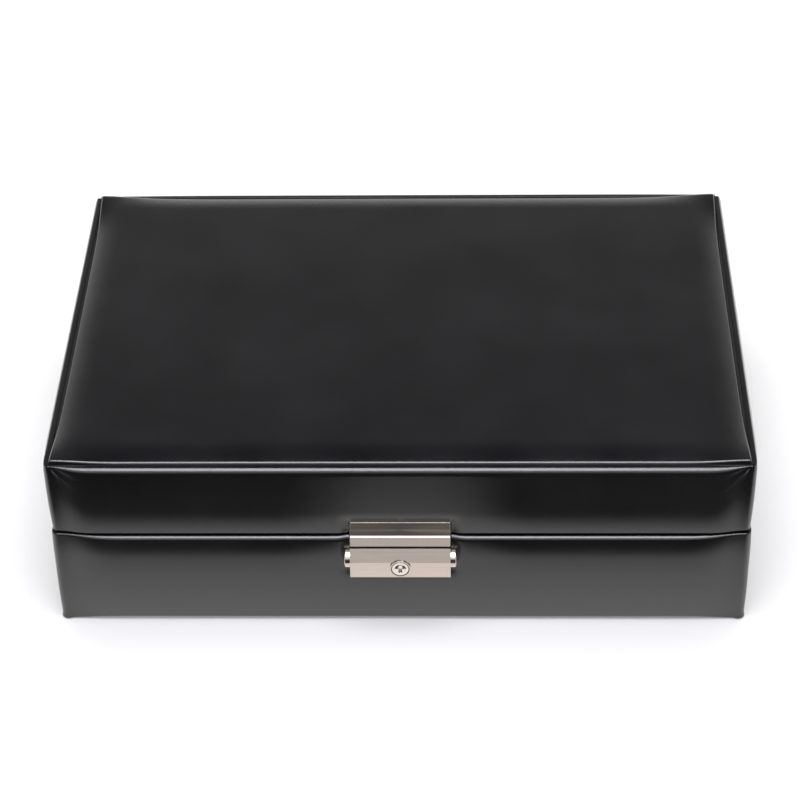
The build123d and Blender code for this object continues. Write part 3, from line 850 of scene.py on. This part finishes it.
        x, y = spaced(half_x, 90, side_lip, side_lip), spaced(half_y, 70, front_lip, back_lip)
        grid_x, grid_y = np.meshgrid(x, y, indexing="ij")
        inset_x, inset_y = half_x - np.abs(grid_x), half_y - np.abs(grid_y)
        end_lip = np.where(grid_y < 0.0, front_lip, back_lip)
        sink = fall(inset_x, drop_side, away(inset_y, shoulder_fade), side_lip)
        end_drop = np.where(grid_y < 0.0, drop_front, drop_back)
        sink = sink + fall(inset_y, end_drop, away(inset_x, shoulder_fade), end_lip)
        dome = (1.0 - (grid_x / half_x) ** 4) * (1.0 - (grid_y / half_y) ** 4)
        top_z = np.maximum(crown_z - crown + crown * dome - sink, low[2])
        bow_y = np.where(grid_y < 0.0, bow_front, bow_back)
        out_x = grid_x * (1.0 + bow_x * (1.0 - away(inset_y, bow_reach)) / half_x)
        out_y = middle_y + grid_y * (1.0 + bow_y * (1.0 - away(inset_x, bow_reach)) / half_y)
        top = np.stack([out_x, out_y, top_z], axis=2)
        base = np.stack([out_x, out_y, np.full(grid_x.shape, low[2])], axis=2)
        faces = grid_faces(x.size, y.size, False, False)
        under = faces[:, ::-1] + x.size * y.size
        points = np.concatenate([top.reshape(-1, 3), base.reshape(-1, 3)])
        rim = self._rim_faces(x.size, y.size)
        piece = make_piece("top_panel_leather", points, faces.tolist() + under.tolist() + rim)
        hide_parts("top_leather_panel")
        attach(piece, "lid")
        self.wardrobe.dress(piece, Finish.LEATHER)

    def spine_head(self) -> None:
        """Rolled head of the back leather, between the panel's back edge and the back of the lid.

        Its inner edge follows the panel's outline and its height falls a little towards both ends.
        The back edge is a quarter circle.
        """
        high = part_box("lid_leather_spine")[1]
        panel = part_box("top_leather_panel")
        half, end_reach = panel[1][0] + 3.9 * MM, 30 * MM
        lip, back_cover, foot = 0.3 * MM, 1.2 * MM, high[2] - 2.5 * MM
        x = half * np.sin(np.linspace(-math.pi / 2, math.pi / 2, 140))
        near_end = bell(half - np.abs(x), end_reach)
        inner = panel[1][1] + (1.7 + 1.4 * near_end) * MM
        top = high[2] + (0.8 - 0.3 * near_end) * MM
        outer = high[1] + 0.1 * MM
        turn = np.linspace(math.pi / 2, 0.0, 8)
        roll = 0.5 * MM
        y = np.stack(
            [inner, inner, inner + 0.25 * MM]
            + [outer - roll + roll * math.cos(t) + 0.0 * x for t in turn]
            + [outer + 0.0 * x, outer - back_cover + 0.0 * x],
            axis=1,
        )
        z = np.stack(
            [panel[0][2] + 0.0 * x, top - lip, top]
            + [top - roll + roll * math.sin(t) for t in turn]
            + [foot + 0.0 * x, foot + 0.0 * x],
            axis=1,
        )
        across = np.repeat(x[:, None], y.shape[1], axis=1)
        piece = loop_piece("lid_spine_head", np.stack([across, y, z], axis=2))
        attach(piece, "lid")
        self.wardrobe.dress(piece, Finish.LEATHER)

    @staticmethod
    def _rim_faces(rows: int, columns: int) -> list[list[int]]:
        """Quads that join the edge of the top grid to the grid below it."""
        grid = np.arange(rows * columns).reshape(rows, columns)
        ring = np.concatenate([grid[:-1, 0], grid[-1, :-1], grid[:0:-1, -1], grid[0, :0:-1]])
        after = np.roll(ring, -1)
        offset = rows * columns
        return np.stack([ring, ring + offset, after + offset, after], axis=1).tolist()


@dataclass
class BoxLock:
    """The satin lock: hasp on the lid, case and plug on the drawer, and two push buttons.

    The moves re-aim the folded planes. Each has an edge's distance out from the leather's front
    line and its height, and then the new ones, in millimetres.
    """

    wardrobe: Wardrobe
    fold_round: float = 0.32 * MM
    spring_round: float = 0.05 * MM
    case_out: float = 10.7 * MM
    plug_z: float = 41.0 * MM
    bore_under: float = 4.0 * MM
    bore: float = 4.2 * MM
    travel: float = 1.8 * MM
    hasp_moves: tuple = ((0.8, 61.0, 1.0, 61.0), (3.7, 55.2, 3.8, 55.2), (5.0, 54.8, 4.35, 54.75))
    case_moves: tuple = ((10.0, 44.5, 10.2, 44.5), (10.3, 35.5, 10.0, 35.5))

    def build(self) -> None:
        """Round the edges of every visible lock piece."""
        self.plug_gap_shade()
        self.springs()
        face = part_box("lock_case")[0][1] + self.case_out
        moves = {"hasp_plate": self.hasp_moves, "lock_case": self.case_moves}
        for node, body in (
            ("hasp_plate", "lid"),
            ("lock_case", "drawer"),
            ("left_button", "left_button"),
            ("right_button", "right_button"),
            ("key_plug", "key_plug"),
        ):
            placed = [
                (face - d * MM, z * MM, face - new_d * MM, new_z * MM)
                for d, z, new_d, new_z in moves.get(node, ())
            ]
            piece = softened(node, self.fold_round, moves=placed)
            if node == "lock_case":
                self.open_bore(piece.data)
            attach(piece, body)
            self.wardrobe.dress(piece, Finish.PLUG if node == "key_plug" else Finish.NICKEL)

    def springs(self) -> None:
        """Round the edges of each button's leaf spring, carry it on the drawer and give it a mesh
        of its own.
        """
        for side in ("left", "right"):
            spring = softened(side + "_button_spring", self.spring_round)
            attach(spring, "drawer")
            self.wardrobe.dress(spring, Finish.STEEL)
            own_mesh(spring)

    def open_bore(self, mesh: bpy.types.Mesh) -> None:
        """Widen the collar's bore, so that a dark gap shows round the key plug."""
        # The widened bore shows the ring of painted shade round the key plug.
        points = read_points(mesh)
        radius = np.hypot(points[:, 0], points[:, 2] - self.plug_z)
        grow = np.where(radius < self.bore_under, self.bore / np.maximum(radius, MM), 1.0)
        points[:, 0] *= grow
        points[:, 2] = self.plug_z + (points[:, 2] - self.plug_z) * grow
        write_points(mesh, points)

    def plug_gap_shade(self) -> None:
        """The dark gap between key plug and collar, as a ring a little behind the plug's face.

        The ring is dark board colour, painted shade for the depth of the gap. The section's points
        are radii and depths behind the face.
        """
        low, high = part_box("key_plug")
        middle, face = (low[0] + high[0]) / 2, low[1] + 0.02 * MM
        section = ((3.7, 0.9), (3.7, 0.3), (3.8, 0.25), (4.2, 0.25), (4.3, 0.3), (4.3, 0.9))
        turn = np.linspace(0.0, 2 * math.pi, 64, endpoint=False)[None, :]
        radius, depth = np.hsplit(np.array(section) * MM, 2)
        across = middle + radius * np.cos(turn)
        height = self.plug_z + radius * np.sin(turn)
        rings = np.stack([across, face + depth + 0.0 * turn, height], axis=2)
        faces = grid_faces(len(section), turn.size, True, True)
        piece = make_piece("plug_gap_shade", rings, faces.tolist())
        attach(piece, "drawer")
        # Painted shade: near-black board colour fills the gap in place of shaded metal.
        self.wardrobe.dress(piece, Finish.BOARD)


@dataclass
class Cushions:
    """Ten watch cushions: suede over foam, swollen by one cloth simulation and copied."""

    wardrobe: Wardrobe
    count: int = 10
    voxel: float = 4.0 * MM
    pressure: float = 4.0
    frames: int = 20
    cap: float = 4.0 * MM
    smaller: float = 0.95
    seam_depth: float = 1.2 * MM
    seam_inset: float = 3.5 * MM
    seam_width: float = 1.3 * MM

    def build(self) -> None:
        """Make one crowned pillow and put a copy in each CAD cushion's place."""
        low, high = (np.array(corner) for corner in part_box("cushion_01"))
        half = (high - low) / 2
        model = self.swollen(self.pillow("cushion_model", half * self.smaller), half)
        for number in range(1, self.count + 1):
            node = "cushion_%02d" % number
            low, high = (np.array(corner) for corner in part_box(node))
            mesh = model.data.copy()
            mesh.transform(Matrix.Translation(Vector((low + high) / 2)))
            piece = place_object(node + "_cover", mesh)
            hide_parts(node)
            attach(piece, "case")
            self.wardrobe.dress(piece, Finish.CUSHION)
        bpy.data.objects.remove(model)

    def swollen(self, piece: bpy.types.Object, half: np.ndarray) -> bpy.types.Object:
        """Swell a pillow by cloth pressure, keep it in its compartment and sew its end seams.

        Args:
            piece: The pillow, a little smaller than its place.
            half: Half sizes of its place.

        Returns:
            The pillow with the result in its mesh and no modifiers.
        """
        remesh = piece.modifiers.new("even", "REMESH")
        remesh.mode = "VOXEL"
        remesh.voxel_size = self.voxel
        self._apply(piece)
        before = read_points(piece.data)
        cloth = piece.modifiers.new("swell", "CLOTH")
        cloth.settings.use_pressure = True
        cloth.settings.uniform_pressure_force = self.pressure
        cloth.settings.effector_weights.gravity = 0.0
        cloth.point_cache.frame_end = self.frames
        for number in range(1, self.frames + 1):
            bpy.context.scene.frame_set(number)
        self._apply(piece)
        bpy.context.scene.frame_set(1)
        move = read_points(piece.data) - before
        length = np.maximum(np.linalg.norm(move, axis=1, keepdims=True), 1e-9)
        points = before + move * np.minimum(1.0, self.cap / length)
        LOG.info("cushion swelled by up to %.1f mm", float(length.max()) / MM)
        write_points(piece.data, points)
        smooth = piece.modifiers.new("finer", "SUBSURF")
        smooth.levels = smooth.render_levels = 1
        self._apply(piece)
        points = read_points(piece.data)
        points *= half / np.abs(points).max(axis=0)
        self._sew_ends(points, half)
        write_points(piece.data, points)
        piece.data.shade_smooth()
        return piece

    def _sew_ends(self, points: np.ndarray, half: np.ndarray) -> None:
        """Press a seam round each end, towards the pillow's axis."""
        inset = half[0] - np.abs(points[:, 0])
        seam = self.seam_depth * bell(inset - self.seam_inset, self.seam_width)
        away = np.linalg.norm(points[:, 1:], axis=1, keepdims=True)
        outer = np.linalg.norm(points[:, 1:] / half[1:], axis=1) > 0.6
        points[:, 1:] -= points[:, 1:] / np.maximum(away, 1e-9) * (seam * outer)[:, None]

    @staticmethod
    def _apply(piece: bpy.types.Object) -> None:
        """Put the result of the modifiers into the mesh and take the modifiers off."""
        graph = bpy.context.evaluated_depsgraph_get()
        mesh = bpy.data.meshes.new_from_object(piece.evaluated_get(graph))
        piece.modifiers.clear()
        piece.data = mesh

    @staticmethod
    def pillow(name: str, half: np.ndarray) -> bpy.types.Object:
        """A rolled pillow round the origin: a rounded section along X that draws in at both ends.

        The section is a superellipse in Y and Z. Its size falls off towards each end as a quarter
        circle, and the end face is slightly hollow, as where the cover is sewn to its disc.
        """
        around = np.linspace(0.0, 2 * math.pi, 72, endpoint=False)
        power = 2.0 / 2.6
        section_y = np.sign(np.cos(around)) * np.abs(np.cos(around)) ** power
        section_z = np.sign(np.sin(around)) * np.abs(np.sin(around)) ** power
        turn = np.linspace(0.0, math.pi / 2, 12)
        roll = 5.0 * MM
        hollow = half[0] - np.array([0.24, 0.6]) * MM
        end_x = np.concatenate([half[0] - roll * (1 - np.sin(turn)), hollow])
        draw = np.concatenate([roll * (1 - np.cos(turn)), roll + np.array([3.0, 8.0]) * MM])
        seam_row, seam_deep = 8, 0.25 * MM
        draw[seam_row] += seam_deep
        middle = np.linspace(-1, 1, 15)[1:-1] * (half[0] - roll)
        x = np.concatenate([-end_x[::-1], middle, end_x])
        shrink = np.concatenate([draw[::-1], np.zeros(middle.size), draw])[:, None]
        rings = np.stack(
            [
                np.repeat(x[:, None], around.size, axis=1),
                section_y[None, :] * (half[1] - shrink),
                section_z[None, :] * (half[2] - shrink),
            ],
            axis=2,
        )
        return loop_piece(name, rings)


@dataclass
class Studio:
    """Pale floor, soft lamps, surroundings and the camera of the photograph.

    The floor's reflection is white up to white_reach in front of the box, further at the lock, and
    darker beside and behind the box, where the box's shadow is painted into it. The ramps give the
    surroundings' brightness by degrees above the horizon.
    """

    sensor: float = 36.0
    lens: float = sensor * 2486.96 / 800.0
    pitch: float = math.radians(38.301)
    yaw: float = math.radians(1.909)
    roll: float = math.radians(-1.27)
    eye: tuple = (0.02969, -0.95957, 0.80592)
    floor_half: float = 6.0
    lift: float = 0.17
    white_reach: float = 0.045
    floor_glow: float = 1.35
    dark_glow: float = 0.04
    lock_reach: float = 0.032
    back_light: tuple = (
        (0, 1.6), (8, 1.6), (14, 1.2), (20, 0.6), (28, 0.28), (40, 0.16), (60, 0.04), (90, 0.04)
    )
    front_light: tuple = (
        (0, 0.02), (8, 0.05), (13, 0.16), (17, 0.3), (23, 0.8), (36, 1.4), (55, 1.5), (90, 0.05)
    )

    def build(self) -> None:
        """Set up everything around the box."""
        self.camera()
        self.floor()
        self.sky()
        self.lamp(
            "overhead",
            place=(0.0, -0.53, 1.3),
            target=(0.0, -0.53, 0.0),
            size=(1.0, 0.96),
            power=24.5,
            colour=(0.95, 0.94, 1.0),
        )
        fill = self.lamp(
            "fill",
            place=(0.0, 0.5, 1.5),
            target=(0.0, 0.3, 0.0),
            size=(1.8, 1.0),
            power=24.0,
            colour=(1.0, 0.98, 0.96),
        )
        fill.visible_glossy = False
        bpy.context.scene.view_settings.view_transform = "Standard"

    def camera(self) -> None:
        """Place the camera from the angles and the place fitted to the photograph."""
        a, b, c = self.pitch, self.yaw, self.roll
        ahead = Vector((-math.sin(b) * math.cos(a), math.cos(b) * math.cos(a), -math.sin(a)))
        level = Vector((math.cos(b), math.sin(b), 0.0))
        rise = level.cross(ahead)
        right = level * math.cos(c) + rise * math.sin(c)
        up = rise * math.cos(c) - level * math.sin(c)
        turn = Matrix((right, up, -ahead)).transposed().to_4x4()
        data = bpy.data.cameras.new("camera")
        data.sensor_width = self.sensor
        data.lens = self.lens
        camera = place_object("camera", data)
        camera.matrix_world = Matrix.Translation(Vector(self.eye)) @ turn
        bpy.context.scene.camera = camera

    def floor(self) -> None:
        """A white floor. In reflections it glows near the box and is dark further out in front.

        The camera sees a greyer cloth lifted by a faint glow, so that only shadows show on it. In
        reflections the glow is dimmed beside and behind the box, a painted shadow of the box.
        """
        shader = Shader.material("floor")
        corners = np.array(((-1, -1, 0), (1, -1, 0), (1, 1, 0), (-1, 1, 0))) * self.floor_half
        plane = make_piece("floor", corners, [[0, 1, 2, 3]])
        across, depth, _ = shader.axes("Object")
        ahead = depth * -1.0
        width = across.math("ABSOLUTE", across)
        edge = self.white_reach - CAD_BOX[0][1]
        lock_edge = shader.remap(width, 0.022, 0.055, self.lock_reach, 0.0)
        far = shader.remap(ahead - lock_edge, edge - 0.006, edge + 0.008, 0.0, 1.0)
        fade = shader.remap(ahead, -CAD_BOX[0][1], edge, 1.0, 0.8)
        # Painted shadow: the glow that reflections see is dimmed beside and behind the box, as its
        # shadow.
        beside = shader.remap(width, 0.166, 0.196, 0.65, 0.0)
        shade = beside * shader.remap(ahead, 0.09, 0.11, 1.0, 0.0)
        strength = (1.0 - far) * fade * (1.0 - shade) * self.floor_glow + far * self.dark_glow
        warm = rgba(1.0, 0.985, 0.975)
        glow = shader.node("ShaderNodeEmission", {}, {"Strength": strength, "Color": warm})
        cloth = shader.node("ShaderNodeBsdfDiffuse", {}, {"Color": rgba(0.8, 0.8, 0.8)})
        seen_cloth = shader.node("ShaderNodeBsdfDiffuse", {}, {"Color": rgba(0.5, 0.5, 0.5)})
        lift = shader.node("ShaderNodeEmission", {}, {"Strength": self.lift})
        lit = shader.node("ShaderNodeAddShader", {}, {0: seen_cloth, 1: lift})
        seen = shader.mix(shader.light_path("Is Camera Ray"), cloth, lit)
        surface = shader.mix(shader.light_path("Is Glossy Ray"), seen, glow)
        plane.data.materials.append(shader.finish(surface))

    def sky(self) -> None:
        """Surroundings by height: white paper low at the back and sides, a dark room in front."""
        world = bpy.data.worlds.new("room")
        shader = Shader(world)
        _, depth, rise = shader.axes("Generated")
        height = rise.math("ARCSINE", rise) / (math.pi / 2)
        level = (1.0 - rise * rise) ** 0.5
        ahead = shader.remap(depth / level * -1.0, 0.25, 0.75, 0.0, 1.0)
        strongest = 4.0

        def ramp(stops: Sequence[tuple[float, float]]) -> Signal:
            """Brightness by height, as (degrees above the horizon, radiance) stops."""
            placed = [(degrees / 90.0, rgba(*[light / strongest] * 3)) for degrees, light in stops]
            return shader.node("ShaderNodeValToRGB", {"stops": placed}, {"Fac": height})

        colour = shader.blend(ahead, ramp(self.back_light), ramp(self.front_light))
        room = shader.node("ShaderNodeBackground", {}, {"Color": colour, "Strength": strongest})
        shader.finish(room, "ShaderNodeOutputWorld")
        bpy.context.scene.world = world

    @staticmethod
    def lamp(
        name: str, place: tuple, target: tuple, size: tuple, power: float, colour: tuple
    ) -> bpy.types.Object:
        """A rectangular lamp at a place that faces a target, with its size and its watts."""
        data = bpy.data.lights.new(name, "AREA")
        data.shape = "RECTANGLE"
        data.size, data.size_y = size
        data.energy = power
        data.color = colour
        lamp = place_object(name, data)
        lamp.location = place
        lamp.rotation_euler = (Vector(target) - Vector(place)).to_track_quat("-Z", "Y").to_euler()
        return lamp


def main() -> None:
    """Build the scene in order."""
    logging.basicConfig(level=logging.INFO, format="%(name)s: %(message)s")
    Studio().build()
    LOG.info("studio ready")
    wardrobe = Wardrobe()
    wardrobe.dress_nodes()
    for maker in (Padding(wardrobe), BoxLock(wardrobe), Cushions(wardrobe)):
        maker.build()
        LOG.info("made %s", type(maker).__name__)


if __name__ == "__main__":
    main()
